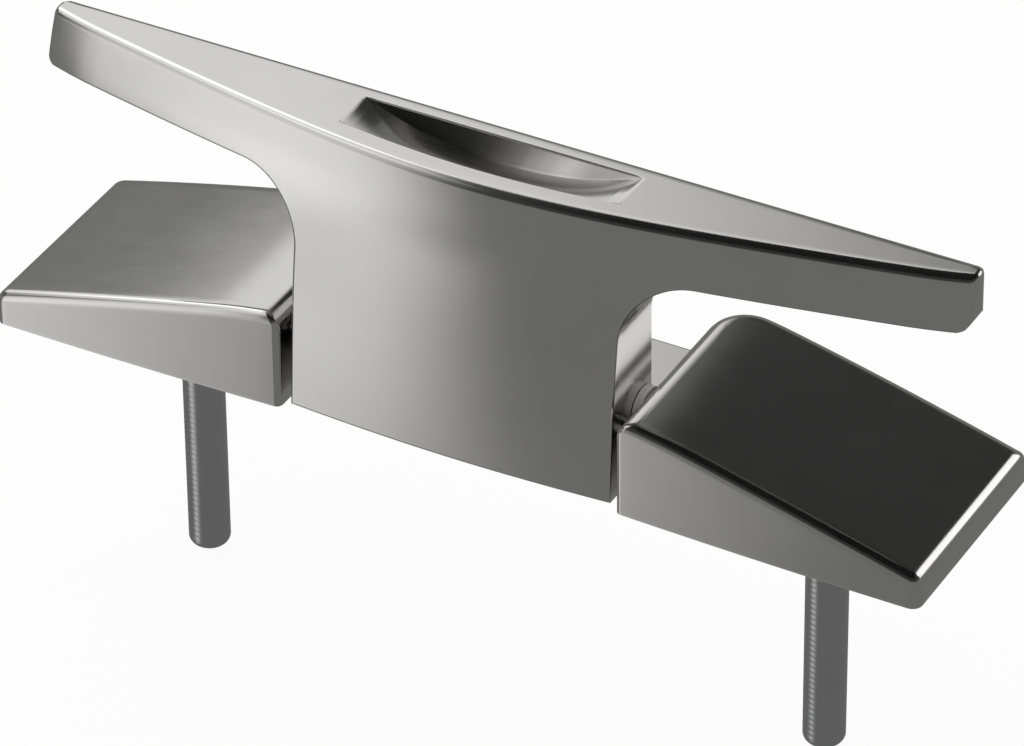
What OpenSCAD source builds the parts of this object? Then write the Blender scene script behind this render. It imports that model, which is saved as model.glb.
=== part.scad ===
// Folding deck cleat: a T-shaped horn hinged between the two wedge ends of a cast
// base, which is bolted to the deck by two threaded studs.
// X runs along the horn, Y from the front of the cleat to its back, Z up.
// The origin is on the deck, midway between the studs, below the horn's back edge.

/* [Horn] */
// Length of the horn from tip to tip
horn_l = 233; // [215:1:260]
// Height of the horn's top above the deck
horn_h = 70; // [66:1:78]
// Height of the arms
arm_h = 12.5; // [10:0.5:14]
// Depth of the horn's top at its middle
horn_t = 25; // [23:0.5:28]
// Depth of the horn's top at its tips
tip_t = 6.5; // [5:0.5:9]
// Length over which the bowed front turns at its middle
bow_turn = 50; // [20:5:90]
// Share of the bow that is left at the foot of the stem
foot_bow = 0.45; // [0.2:0.05:0.8]
// How far the arm's front leans out below its top edge
arm_lean = 4.6; // [2:0.2:6]
// How much further the foot of the stem stands out
stem_lean = 4.6; // [2:0.2:6]
// Width of the stem between its two ends
stem_w = 81.8; // [76:0.2:90]
// Distance from the horn's back plane to the back of the stem
stem_back = 12.5; // [11:0.5:13]
// Fillet between stem and arms
arm_fillet = 16; // [10:1:20]
// Fillet behind the stem, under the arms' overhang
back_fillet = 5; // [2:0.5:6]
// Gap between the stem's foot and the deck
foot_gap = 0.9; // [0.6:0.1:1.5]
// Rounding of the horn's front top edge
horn_round = 2.5; // [1:0.5:3]
// Rounding of the horn's back top edge
back_round = 1.5; // [0.5:0.5:1.5]
// Rounding of the lower corners of the tips
tip_round = 2; // [1:0.5:4]
// Rounding of the upright edges of the tips
end_round = 1.5; // [0.5:0.5:2]

/* [Finger scoop] */
// Length of the scoop in the horn's top
scoop_l = 70; // [50:1:80]
// Distance of the scoop's back wall from the horn's back plane
scoop_back = 5.2; // [4:0.2:7]
// Rim left between the scoop and the horn's front edge
scoop_rim = 6; // [5:0.5:9]
// Depth of the scoop at its middle
scoop_d = 7.4; // [4:0.2:8.4]

/* [Base] */
// Length of the base over both wedge ends
base_l = 236.2; // [225:0.2:260]
// Gap between the stem and each wedge end
end_gap = 2; // [1.5:0.1:3]
// Height of a wedge at its inner end
wedge_h = 26; // [25:0.5:27]
// Height of a wedge at its outer end
wedge_low = 7.8; // [6.5:0.1:10]
// How far the wedge's top bulges above a straight slope
wedge_crown = 0.8; // [0:0.1:1.5]
// Distance of the base's back face behind the horn's back plane
base_back = 21.8; // [19:0.2:22]
// Distance of the wedge's front face at its inner end
wedge_front = 33.8; // [32:0.2:36]
// How much further the wedge's front stands out at its outer end
wedge_flare = 1.1; // [0:0.1:3]
// Bulge of the wedge's front face between its two ends
wedge_bulge = 0.4; // [0:0.1:2]
// Rounding of the wedge's top edges
wedge_round = 2.5; // [1.5:0.5:3]
// Rounding of the wedge's inner back corner, seen from above
corner_round = 11; // [6:0.5:14]
// Wall of the hollow wedges
wall = 4; // [3:0.5:5]
// Thickness of the wedge's inner end, which holds the hinge pin
cheek = 9; // [8:0.5:12]
// Height of the bridge that joins the wedges behind the stem
bridge_h = 7; // [5:0.2:7.4]

/* [Hinge] */
// Distance of the hinge axis in front of the horn's back plane
pivot_in = 17; // [16.8:0.1:17.2]
// Clearance of the folded horn above the deck
fold_gap = 0.5; // [0.3:0.1:0.8]
// Diameter of the hinge pins
pin_d = 8; // [7:0.1:8]
// Length of a hinge pin inside the horn
pin_in = 15; // [10:1:20]
// Radial running clearance of the pin in its bush
run_fit = 0.05; // [0.02:0.01:0.1]
// Wall of the bushes
bush_wall = 0.8; // [0.6:0.1:1.2]
// Length of a bush
bush_l = 16; // [10:1:20]
// Wall of the horn's hinge barrel around the bushes
barrel_wall = 4; // [2.5:0.5:4.5]
// Distance of the barrel's ends from the stem's ends
barrel_in = 4.6; // [3:0.2:8]
// Wall of the stem around the bushes outside the barrel
knuckle_wall = 1; // [0.8:0.1:1.5]
// Outer diameter of the thrust washers
washer_d = 11; // [10:0.5:11]
// Axial clearance between thrust washer and stem
washer_gap = 0.15; // [0.1:0.05:0.3]
// Diameter of the grub screws that lock the hinge pins
grub_d = 4; // [3:0.5:5]
// Length of a grub screw
grub_l = 8; // [5:0.5:9]
// Clearance around pieces that are pressed or screwed in
set_fit = 0.02; // [0.01:0.01:0.05]

/* [Detent] */
// Distance of the detent pins from the hinge axis
detent_r = 7.8; // [7.8:0.1:8.6]
// Diameter of the detent pins
detent_d = 4; // [3.4:0.2:4]
// Length of a detent pin
detent_l = 9; // [8:0.5:10]
// How far a detent pin's nose reaches into its track
detent_reach = 0.4; // [0.2:0.1:0.5]
// Depth of the track that the nose runs in
track_d = 0.6; // [0.5:0.1:1]
// Depth of the notches at the track's two ends
notch_d = 1.2; // [1:0.1:1.6]
// Wire of the detent springs
spring_wire = 0.6; // [0.4:0.1:0.7]
// Length of a detent spring as fitted
spring_l = 8; // [6:0.5:10]
// Turns of a detent spring
spring_turns = 6; // [4:1:8]
// Diameter of the plugs behind the springs
plug_d = 6; // [5:0.5:7]
// Length of a plug
plug_l = 5; // [4:0.5:7]
// Wall of the bosses around the detent bores
detent_wall = 2.5; // [2:0.5:3]

/* [Studs] */
// Diameter of the threaded studs
stud_d = 10; // [8:0.5:12]
// Distance of a stud's axis from the end of the base
stud_end = 36.8; // [30:0.1:43]
// Distance of the studs in front of the horn's back plane
stud_in = 4.2; // [0:0.2:8]
// Length of a stud below the deck
stud_l = 70; // [40:0.5:90]
// Depth of a stud in its boss
stud_deep = 12; // [9:0.5:13]
// How much thinner the stud's plain shank in the boss is than its thread
shank_in = 1.6; // [1.2:0.1:2]
// Chamfer at a stud's end
stud_chamfer = 1.5; // [0.5:0.1:2]
// Depth of the thread
thread_d = 0.6; // [0.3:0.1:0.9]
// Pitch of the thread
thread_p = 1.5; // [1:0.25:2]
// Diameter of the boss around a stud
stud_boss = 20; // [17:0.5:24]

/* [Rest buttons] */
// Diameter of a button's head
button_d = 10; // [8:0.5:12]
// Diameter of the button's shank in the bridge
shank_d = 6; // [4:0.5:6]
// Distance of a button from the middle of the base
button_x = 20; // [10:1:30]
// Distance of a button behind the horn's back plane
button_y = 8; // [4:0.5:12]
// Gap between a button and the folded horn
button_gap = 0.3; // [0.2:0.1:0.5]

/* [Hidden] */

steel = "silver";
bright_steel = "gainsboro";
bronze = "peru";
nylon = "dimgray";
rubber = "darkslategray";

// Left is -X and right is +X.
LEFT = -1;
RIGHT = 1;
fine = 96;
coarse = 32;
over = 1;    // how far a cutting shape runs past what it cuts
thin = 0.01; // thickness of a slice in a hull

arm_z = horn_h - arm_h;
stem_x = stem_w / 2;
horn_x = horn_l / 2;
base_x = base_l / 2;
cheek_x = stem_x + end_gap;
pivot_y = -pivot_in;
pivot_z = pivot_in + fold_gap;
stud_x = base_x - stud_end;
stud_y = -stud_in;

// Bow of the horn's front: how far the front edge falls back at x.
function bow(x) = (horn_t - tip_t) * (sqrt(x * x + bow_turn * bow_turn) - bow_turn)
    / (sqrt(horn_x * horn_x + bow_turn * bow_turn) - bow_turn);

// How far the front leans out at height z, and how much of the bow is left there.
function low_share(z) = (arm_z - z) / (arm_z - foot_gap);
function lean(z) = z > arm_z ? arm_lean * (horn_h - z) / arm_h
    : arm_lean + stem_lean * low_share(z);
function bow_share(z) = z > arm_z ? 1 : 1 - (1 - foot_bow) * low_share(z);
function front_y(x, z) = bow_share(z) * bow(x) - horn_t - lean(z);

// One level slice of the horn between its back plane and its bowed front.
bow_steps = 24;
module horn_slice(z, half, front_in = 0, back_in = 0) {
    depth = -front_y(half, z) - front_in - back_in;
    r = min(end_round, depth / 2);
    mid = half - r;
    y0 = front_y(mid, z) + front_in;
    curve = [for (i = [-bow_steps:bow_steps]) let (x = mid * i / bow_steps)
        [x, front_y(x, z) + front_in]];
    front_end = [for (a = [30:30:90]) [mid + r * sin(a), y0 + r * (1 - cos(a))]];
    back_end = [for (a = [0:30:90]) [mid + r * cos(a), r * (sin(a) - 1) - back_in]];
    right = concat(front_end, back_end);
    left = [for (i = [len(right) - 1:-1:0]) [-right[i][0], right[i][1]]];
    translate([0, 0, z - thin / 2])
        linear_extrude(thin)
            polygon(concat(curve, right, left));
}

// Everything behind the bowed and leaning front, over the horn's whole length.
round_steps = 4;
foot_steps = 3;
module horn_front() {
    foot_half = stem_x + arm_fillet;
    hull() {
        for (i = [0:round_steps]) {
            a = 90 * i / round_steps;
            turned = 1 - sin(a);
            horn_slice(horn_h - horn_round * (1 - cos(a)), horn_x,
                horn_round * turned, back_round * turned);
        }
        horn_slice(arm_z, horn_x);
        for (i = [0:foot_steps - 1])
            horn_slice(arm_z * i / foot_steps, foot_half);
    }
}

// The T seen from the front, with its fillets and rounded tips.
module horn_outline() {
    difference() {
        union() {
            translate([-horn_x, arm_z])
                square([horn_l, arm_h]);
            translate([-stem_x - arm_fillet, foot_gap])
                square([stem_w + 2 * arm_fillet, arm_z - foot_gap + over]);
        }
        for (side = [LEFT, RIGHT]) scale([side, 1]) {
            translate([stem_x + arm_fillet, arm_z - arm_fillet])
                circle(arm_fillet, $fn = fine);
            translate([stem_x, -over])
                square([arm_fillet + over, arm_z - arm_fillet + over]);
            translate([horn_x - tip_round, arm_z - over])
                difference() {
                    square([tip_round + over, tip_round + over]);
                    translate([0, tip_round + over])
                        circle(tip_round, $fn = fine);
                }
        }
    }
}

// Turns a shape drawn in the XY plane so that it stands in XZ, pulled along Y.
module stand(depth_from, depth_to) {
    translate([0, depth_to, 0])
        rotate([90, 0, 0])
            linear_extrude(depth_to - depth_from)
                children();
}

// Turns a shape drawn with Y to the right and Z up so that it runs along X.
module along_x(half) {
    translate([-half, 0, 0])
        rotate([90, 0, 90])
            linear_extrude(2 * half)
                children();
}

module rod_x(d, x0, x1, fn = fine) {
    translate([x0, 0, 0])
        rotate([0, 90, 0])
            cylinder(d = d, h = x1 - x0, $fn = fn);
}

module at_pivot() {
    translate([0, pivot_y, pivot_z])
        children();
}

module mirror_side(side) {
    scale([side, 1, 1])
        children();
}

// Room behind the stem and under the arms' overhang.
module behind_stem() {
    along_x(stem_x + arm_fillet + over)
        difference() {
            translate([-stem_back, -over])
                square([stem_back + over, arm_z + over]);
            translate([-stem_back, arm_z - back_fillet])
                difference() {
                    square(back_fillet);
                    translate([back_fillet, 0])
                        circle(back_fillet, $fn = fine);
                }
        }
}

// Finger scoop: a vertical back wall, and a floor that rises from it to the front rim.
scoop_steps = 12;
module scoop() {
    half = scoop_l / 2;
    arc = [for (i = [-scoop_steps:scoop_steps]) let (s = i / scoop_steps)
        [half * s, -scoop_d * (1 - s * s)]];
    rim = [for (i = [-scoop_steps:scoop_steps]) let (x = half * i / scoop_steps)
        [x, front_y(x, horn_h) + scoop_rim]];
    translate([0, 0, horn_h])
        hull() {
            stand(-scoop_back - thin, -scoop_back)
                polygon(concat([[-half, over]], arc, [[half, over]]));
            linear_extrude(over)
                polygon(concat(rim, [[half, -scoop_back], [-half, -scoop_back]]));
        }
}

// Track of the detent noses in a stem end: a quarter turn with a notch at each end.
// It runs from straight in front of the hinge axis to straight below it.
track_share = 0.8; // share of the nose that fits in the track's width
module detent_track() {
    nose = track_share * detent_d / 2;
    at_pivot() {
        translate([stem_x - track_d, 0, 0])
            rotate([0, 90, 0])
                difference() {
                    cylinder(r = detent_r + nose, h = track_d + over, $fn = fine);
                    translate([0, 0, -over])
                        cylinder(r = detent_r - nose, h = track_d + 3 * over, $fn = fine);
                    translate([-detent_r * 2, -detent_r * 2, -over])
                        cube([detent_r * 2, detent_r * 4, track_d + 3 * over]);
                    translate([-detent_r * 2, 0, -over])
                        cube([detent_r * 4, detent_r * 2, track_d + 3 * over]);
                }
        for (turn = [0, 90])
            rotate([turn, 0, 0])
                translate([0, -detent_r, 0])
                    rod_x(detent_d, stem_x - notch_d, stem_x + over);
    }
}

bush_d = pin_d + 2 * run_fit + 2 * bush_wall;
barrel_d = bush_d + 2 * barrel_wall;

module horn() {
    color(bright_steel)
        difference() {
            union() {
                difference() {
                    intersection() {
                        horn_front();
                        stand(-2 * horn_t, over)
                            horn_outline();
                    }
                    behind_stem();
                }
                at_pivot() {
                    rod_x(barrel_d, barrel_in - stem_x, stem_x - barrel_in);
                    rod_x(bush_d + 2 * knuckle_wall, -stem_x, stem_x);
                }
            }
            scoop();
            for (side = [LEFT, RIGHT]) mirror_side(side) {
                at_pivot()
                    rod_x(bush_d + 2 * set_fit, stem_x - bush_l - end_gap, stem_x + over);
                detent_track();
            }
        }
}

// Top of a wedge at x, measured from the deck, with its crown above the straight slope.
wedge_l = base_x - cheek_x;
function along(x) = (x - cheek_x) / wedge_l;
function wedge_top(x) = wedge_h + (wedge_low - wedge_h) * along(x)
    + 4 * wedge_crown * along(x) * (1 - along(x));
function wedge_face(x) = -wedge_front - wedge_flare * along(x)
    - 4 * wedge_bulge * along(x) * (1 - along(x));

// A wedge's outer shape, shrunk by inset for the hollow inside it. Its edges and corners
// are rounded by spheres above and upright rods below.
wedge_steps = 6;
module wedge_post(x, y, inset) {
    translate([x, y, wedge_top(x) - inset - wedge_round])
        sphere(wedge_round, $fn = coarse);
    translate([x, y, -inset])
        cylinder(r = wedge_round, h = thin, $fn = coarse);
}

module wedge(inset = 0) {
    turn = corner_round - wedge_round;
    x0 = cheek_x + (inset > 0 ? cheek : 0) + wedge_round;
    x1 = base_x - inset - wedge_round;
    y1 = base_back - inset - wedge_round;
    hull() {
        for (i = [0:wedge_steps]) {
            x = x0 + (x1 - x0) * i / wedge_steps;
            wedge_post(x, wedge_face(x) + inset + wedge_round, inset);
            if (i > 0)
                wedge_post(x, y1, inset);
        }
        for (a = [0:22.5:90])
            wedge_post(x0 + turn * (1 - cos(a)), y1 - turn * (1 - sin(a)), inset);
    }
}

detent_y = pivot_y - detent_r;
detent_tip = stem_x - detent_reach;
detent_end = detent_tip + detent_l;
spring_end = detent_end + spring_l;
plug_end = spring_end + plug_l;

module base_side() {
    difference() {
        union() {
            difference() {
                wedge();
                wedge(wall);
            }
            intersection() {
                wedge();
                union() {
                    translate([stud_x, stud_y, 0])
                        cylinder(d = stud_boss, h = wedge_h, $fn = fine);
                    translate([0, detent_y, pivot_z])
                        rod_x(plug_d + 2 * detent_wall, cheek_x, plug_end);
                    translate([cheek_x, detent_y - plug_d / 2 - detent_wall, pivot_z])
                        cube([plug_end - cheek_x, plug_d + 2 * detent_wall, wedge_h]);
                }
            }
        }
        at_pivot()
            rod_x(pin_d + 2 * set_fit, cheek_x - over, cheek_x + cheek + over);
        translate([cheek_x + cheek / 2, pivot_y, -over])
            cylinder(d = grub_d + 2 * set_fit, h = pivot_z, $fn = fine);
        translate([0, detent_y, pivot_z]) {
            rod_x(detent_d + 2 * run_fit, cheek_x - over, spring_end);
            rod_x(plug_d + 2 * set_fit, spring_end, plug_end + over);
        }
        translate([stud_x, stud_y, -over])
            cylinder(d = stud_d - shank_in + 2 * set_fit, h = stud_deep + over, $fn = fine);
    }
}

// The stem's back rests against the bridge when the horn is upright.
stop_gap = 0.3;
bridge_y = stop_gap - stem_back;
bridge_round = 1;
module bridge() {
    along_x(cheek_x + corner_round)
        difference() {
            translate([bridge_y, 0])
                square([base_back - bridge_y, bridge_h]);
            translate([base_back - bridge_round, bridge_h - bridge_round])
                difference() {
                    square(bridge_round + over);
                    circle(bridge_round, $fn = fine);
                }
        }
}

module base() {
    color(steel)
        difference() {
            union() {
                for (side = [LEFT, RIGHT])
                    mirror_side(side)
                        base_side();
                bridge();
            }
            for (side = [LEFT, RIGHT])
                translate([side * button_x, button_y, -over])
                    cylinder(d = shank_d + 2 * set_fit, h = bridge_h + 2 * over, $fn = fine);
        }
}

// Threaded stud: plain inside the boss, thread rings from the deck down to the end.
module stud(side) {
    rings = floor((stud_l - 2 * stud_chamfer) / thread_p);
    r = stud_d / 2;
    shank_r = (stud_d - shank_in) / 2;
    thread = [for (i = [0:rings - 1]) let (z = -i * thread_p)
        each [[r - thread_d, z - thread_p * 3 / 8],
            [r, z - thread_p * 3 / 4], [r, z - thread_p]]];
    last_z = -rings * thread_p;
    color(bright_steel)
        translate([side * stud_x, stud_y, 0])
            rotate_extrude($fn = fine)
                polygon(concat(
                    [[0, stud_deep], [shank_r - stud_chamfer / 2, stud_deep],
                        [shank_r, stud_deep - stud_chamfer / 2], [shank_r, 0]],
                    thread,
                    [[r, last_z], [r, stud_chamfer - stud_l], [r - stud_chamfer, -stud_l], [0, -stud_l]]));
}

pin_end = 0.5; // how far a hinge pin stays short of the cheek's inner face
module hinge_pin(side) {
    color(bright_steel)
        at_pivot()
            mirror_side(side)
                rod_x(pin_d, stem_x - pin_in, cheek_x + cheek - pin_end);
}

module bush(side) {
    color(bronze)
        at_pivot()
            mirror_side(side)
                difference() {
                    rod_x(bush_d, stem_x - bush_l, stem_x);
                    rod_x(pin_d + 2 * run_fit, stem_x - bush_l - over, stem_x + over);
                }
}

module thrust_washer(side) {
    color(nylon)
        at_pivot()
            mirror_side(side)
                difference() {
                    rod_x(washer_d, stem_x + washer_gap, cheek_x);
                    rod_x(pin_d + 2 * set_fit, stem_x, cheek_x + over);
                }
}

module grub_screw(side) {
    top = pivot_z - pin_d / 2;
    key = grub_d / 2;
    color(steel)
        translate([side * (cheek_x + cheek / 2), pivot_y, top - grub_l])
            difference() {
                cylinder(d = grub_d, h = grub_l - set_fit, $fn = fine);
                translate([0, 0, -over])
                    cylinder(d = key, h = key + over, $fn = 6);
            }
}

module detent_pin(side) {
    r = detent_d / 2;
    color(bright_steel)
        mirror_side(side)
            translate([detent_tip, detent_y, pivot_z])
                rotate([0, 90, 0])
                    rotate_extrude($fn = fine)
                        intersection() {
                            square([r, detent_l]);
                            translate([0, r]) {
                                circle(r, $fn = fine);
                                square([r, detent_l]);
                            }
                        }
}

// Coil of round wire, swept as one closed tube between the detent pin and its plug.
spring_sides = 6;
spring_ring = 20; // degrees between two rings of the wire
seat = 0.1; // clearance around a spring
module detent_spring(side) {
    r = (detent_d - spring_wire) / 2 - seat;
    free = spring_l - spring_wire - 2 * seat;
    rings = 360 * spring_turns / spring_ring;
    points = [for (i = [0:rings]) let (a = i * spring_ring)
        for (k = [0:spring_sides - 1]) let (
            b = 360 * k / spring_sides,
            out = r + spring_wire / 2 * cos(b))
            [spring_wire / 2 * sin(b) + free * i / rings, out * cos(a), out * sin(a)]];
    sides = [for (i = [0:rings - 1]) for (k = [0:spring_sides - 1]) let (
        j = (k + 1) % spring_sides,
        p = i * spring_sides)
        [p + k, p + spring_sides + k, p + spring_sides + j, p + j]];
    first_cap = [for (k = [0:spring_sides - 1]) k];
    last_cap = [for (k = [spring_sides - 1:-1:0]) rings * spring_sides + k];
    color(steel)
        mirror_side(side)
            translate([detent_end + seat + spring_wire / 2, detent_y, pivot_z])
                polyhedron(points, concat(sides, [first_cap, last_cap]));
}

module detent_plug(side) {
    key = plug_d / 2;
    color(steel)
        mirror_side(side)
            translate([0, detent_y, pivot_z])
                difference() {
                    rod_x(plug_d, spring_end, plug_end);
                    rod_x(key, plug_end - key / 2, plug_end + over, 6);
                }
}

module rest_button(side) {
    head = pivot_z - (pivot_in - stem_back) - button_gap - bridge_h;
    color(rubber)
        translate([side * button_x, button_y, 0]) {
            cylinder(d = shank_d, h = bridge_h, $fn = fine);
            translate([0, 0, bridge_h])
                cylinder(d = button_d, h = head, $fn = fine);
        }
}

base();
horn();
stud(LEFT);  // left_stud
stud(RIGHT);  // right_stud
hinge_pin(LEFT);  // left_hinge_pin
hinge_pin(RIGHT);  // right_hinge_pin
bush(LEFT);  // left_bush
bush(RIGHT);  // right_bush
thrust_washer(LEFT);  // left_thrust_washer
thrust_washer(RIGHT);  // right_thrust_washer
grub_screw(LEFT);  // left_grub_screw
grub_screw(RIGHT);  // right_grub_screw
detent_pin(LEFT);  // left_detent_pin
detent_pin(RIGHT);  // right_detent_pin
detent_spring(LEFT);  // left_detent_spring
detent_spring(RIGHT);  // right_detent_spring
detent_plug(LEFT);  // left_detent_plug
detent_plug(RIGHT);  // right_detent_plug
rest_button(LEFT);  // left_rest_button
rest_button(RIGHT);  // right_rest_button
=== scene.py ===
# %% [markdown]
# # A folding deck cleat
# A cleat is what a boat's mooring line is wound round. This one has a T-shaped horn that
# stands up between two wedges, and folds back flat when nobody needs it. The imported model
# holds every piece at its real size and place. It is loaded first and never moved: the
# smooth, polished castings that follow are made to lie exactly where the plain ones are.

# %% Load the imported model
import math

import bmesh
import bpy
from mathutils import Matrix, Vector


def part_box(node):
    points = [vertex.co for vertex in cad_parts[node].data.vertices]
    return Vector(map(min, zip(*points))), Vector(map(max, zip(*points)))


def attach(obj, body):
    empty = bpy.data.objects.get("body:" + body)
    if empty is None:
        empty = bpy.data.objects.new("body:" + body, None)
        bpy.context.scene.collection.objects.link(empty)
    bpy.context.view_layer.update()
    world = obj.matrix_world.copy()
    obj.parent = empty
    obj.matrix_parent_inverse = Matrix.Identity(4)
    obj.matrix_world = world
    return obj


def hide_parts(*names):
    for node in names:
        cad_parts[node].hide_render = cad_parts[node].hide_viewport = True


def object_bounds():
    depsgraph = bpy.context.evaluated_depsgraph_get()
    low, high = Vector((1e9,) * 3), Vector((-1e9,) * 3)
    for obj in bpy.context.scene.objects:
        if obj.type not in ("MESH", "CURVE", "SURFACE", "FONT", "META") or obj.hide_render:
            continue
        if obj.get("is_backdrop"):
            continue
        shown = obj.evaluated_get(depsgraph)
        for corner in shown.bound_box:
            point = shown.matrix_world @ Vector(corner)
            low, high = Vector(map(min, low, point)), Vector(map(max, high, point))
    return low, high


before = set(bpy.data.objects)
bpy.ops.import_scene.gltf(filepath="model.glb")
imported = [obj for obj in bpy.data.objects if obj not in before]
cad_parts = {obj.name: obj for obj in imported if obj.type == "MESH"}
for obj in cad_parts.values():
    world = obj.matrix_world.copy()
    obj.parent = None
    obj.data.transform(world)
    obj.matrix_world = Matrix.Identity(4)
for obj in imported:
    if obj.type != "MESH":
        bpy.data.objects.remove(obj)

MM = 0.001
cad_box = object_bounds()
print("pieces in the packed model:", len(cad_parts))

# %% [markdown]
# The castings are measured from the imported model: how long the horn is, how far the base
# reaches, where the hinge axis runs and where the studs stand. Sizes that the boxes can't
# give are written once, in millimetres. Those that several pieces share come here, and the
# others come with the piece that needs them.

# %% Shared sizes, in millimetres
def size_of(node):
    """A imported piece's lowest and highest corner."""
    low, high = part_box(node)
    return low / MM, high / MM


def middle_of(node):
    low, high = size_of(node)
    return (low + high) / 2

horn_low, horn_high = size_of("horn")
base_high = size_of("base")[1]
HORN_X = horn_high.x
TOP_Z = horn_high.z
FOOT_Z = horn_low.z
FOOT_T = -horn_low.y
BASE_X = base_high.x
BASE_BACK = base_high.y
PIVOT_Y, PIVOT_Z = middle_of("left_bush").yz
STUD_X, STUD_Y = middle_of("right_stud").xy
STUD_END = size_of("right_stud")[0].z
STUD_TOP = size_of("right_stud")[1].z

STEM_X = 40.9
STEM_BACK = 12.5
SIDE_GAP = 2.0
CHEEK_X = STEM_X + SIDE_GAP
print("horn reaches x", round(HORN_X, 1), "and z", round(TOP_Z, 1), "mm")
print("hinge axis at y", round(PIVOT_Y, 1), "and z", round(PIVOT_Z, 1), "mm")

# %% [markdown]
# Each finished piece is one mesh in metres whose object sits at the origin, as the packed
# pieces do. Three small helpers turn a bmesh into such an object, bake its modifiers in, and
# cut one piece with another.

# %% Helpers for finished pieces
def piece(name, bm):
    mesh = bpy.data.meshes.new(name)
    bm.to_mesh(mesh)
    bm.free()
    made = bpy.data.objects.new(name, mesh)
    bpy.context.scene.collection.objects.link(made)
    return made


def bake(made):
    """Replaces a piece's mesh by what its modifiers make of it."""
    graph = bpy.context.evaluated_depsgraph_get()
    mesh = bpy.data.meshes.new_from_object(made.evaluated_get(graph))
    made.modifiers.clear()
    old = made.data
    made.data = mesh
    bpy.data.meshes.remove(old)
    return made


def cut(made, cutter, operation="DIFFERENCE"):
    """Cuts a piece with another one, or joins them, and throws the second one away."""
    step = made.modifiers.new("cut", "BOOLEAN")
    step.operation = operation
    step.object = cutter
    step.solver = "EXACT"
    bake(made)
    bpy.data.objects.remove(cutter)
    return made

print("helpers ready: piece, bake, cut")

# %% [markdown]
# A casting's faces bend gently in two directions, which is hard to model directly. The way
# used here is to model each casting straight and square first, round its edges while its
# faces are still flat and simple, slice it finely, and only then push the vertices to the
# real curve. The roundings survive because their zone is moved as a whole. Straight blanks
# need boxes, rods and a few plain operations on them.

# %% Helpers for straight blanks
def block(bm, low, high):
    """A box between two corners."""
    low, high = Vector(low), Vector(high)
    made = bmesh.ops.create_cube(bm, size=1)["verts"]
    bmesh.ops.scale(bm, verts=made, vec=high - low)
    bmesh.ops.translate(bm, verts=made, vec=(low + high) / 2)


def rod(bm, radius, start, end, sides=48):
    """A closed cylinder between two points."""
    start, end = Vector(start), Vector(end)
    made = bmesh.ops.create_cone(bm, cap_ends=True, segments=sides, radius1=radius,
        radius2=radius, depth=(end - start).length)["verts"]
    turn = Vector((0, 0, 1)).rotation_difference(end - start).to_matrix()
    bmesh.ops.rotate(bm, verts=made, cent=(0, 0, 0), matrix=turn)
    bmesh.ops.translate(bm, verts=made, vec=(start + end) / 2)


def at(value, place):
    return abs(value - place) < 0.02


def bevel(bm, edges, radius, steps):
    """Rounds a few edges of a blank at once."""
    bmesh.ops.bevel(bm, geom=edges, offset=radius, segments=steps, profile=0.5,
        affect="EDGES", material=-1)


def to_metres(bm):
    bmesh.ops.scale(bm, verts=bm.verts[:], vec=(MM, MM, MM))


def face_outwards(bm):
    bmesh.ops.recalc_face_normals(bm, faces=bm.faces[:])


def tidy(bm):
    bmesh.ops.remove_doubles(bm, verts=bm.verts[:], dist=1e-4)
    face_outwards(bm)

print("blank helpers ready")

# %% [markdown]
# ## The horn
# The horn is an investment casting. Seen from the front it is a T with big fillets. Its
# front is bowed and leans outwards on its way down, its back is flat, and the stem is thinner
# than the arms, so that the top overhangs it behind. The blank is that T, drawn as one face
# and extruded a little deeper than the real horn.

# %% The horn's straight blank
ARM_H, ARM_FILLET = 12.5, 16.0
ARM_Z = TOP_Z - ARM_H
BLANK_T = 34.0

bm = bmesh.new()
outline = [(-HORN_X, TOP_Z), (-HORN_X, ARM_Z), (-STEM_X, ARM_Z), (-STEM_X, FOOT_Z),
    (STEM_X, FOOT_Z), (STEM_X, ARM_Z), (HORN_X, ARM_Z), (HORN_X, TOP_Z)]
corners = [bm.verts.new((x, 0, z)) for x, z in outline]
bm.faces.new(corners)
bmesh.ops.bevel(bm, geom=[corners[2], corners[5]], offset=ARM_FILLET, segments=20,
    profile=0.5, affect="VERTICES", material=-1)
front = bmesh.ops.extrude_face_region(bm, geom=bm.faces[:])
moved = [v for v in front["geom"] if isinstance(v, bmesh.types.BMVert)]
bmesh.ops.translate(bm, verts=moved, vec=(0, -BLANK_T, 0))
tidy(bm)
horn = piece("horn_casting", bm)
print("horn blank:", len(horn.data.polygons), "faces")

# %% [markdown]
# The room behind the stem is a block with a rounded inner edge, taken away from the blank.

# %% Make room behind the stem
ROOM_ROUND, CLEAR, SIDE_CLEAR = 5.0, 2.0, 0.5

bm = bmesh.new()
reach = STEM_X + ARM_FILLET + SIDE_CLEAR
block(bm, (-reach, -STEM_BACK, -CLEAR), (reach, CLEAR, ARM_Z))
inner = [e for e in bm.edges if all(at(v.co.y, -STEM_BACK) and at(v.co.z, ARM_Z)
    for v in e.verts)]
bevel(bm, inner, ROOM_ROUND, 6)
tidy(bm)
cut(horn, piece("room_behind_stem", bm))
print("horn blank with its thin stem:", len(horn.data.polygons), "faces")

# %% [markdown]
# The bow is a hyperbola: nearly straight along each arm and turning in the middle, with a
# short curl at each tip. Lower down the front leans further out, quickly over the arms and
# slowly down the stem, and the bow fades. The shift grows from nothing at the back to its
# full size just before the front roundings.

# %% How the horn's front bends
HORN_T, TIP_T = 25.0, 6.5
BOW_TURN, FOOT_BOW, FOOT_POWER = 50.0, 0.45, 1.3
TIP_CURL, CURL_D = 14.0, 0.9
LEAN_H = 18.7
LEAN = (FOOT_T - HORN_T) / (1 - math.exp((FOOT_Z - TOP_Z) / LEAN_H))
BACK_ZONE, STEM_ZONE, FRONT_ZONE = 3.5, STEM_BACK + 1, 2.6
ZONE_H = 5.0


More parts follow.
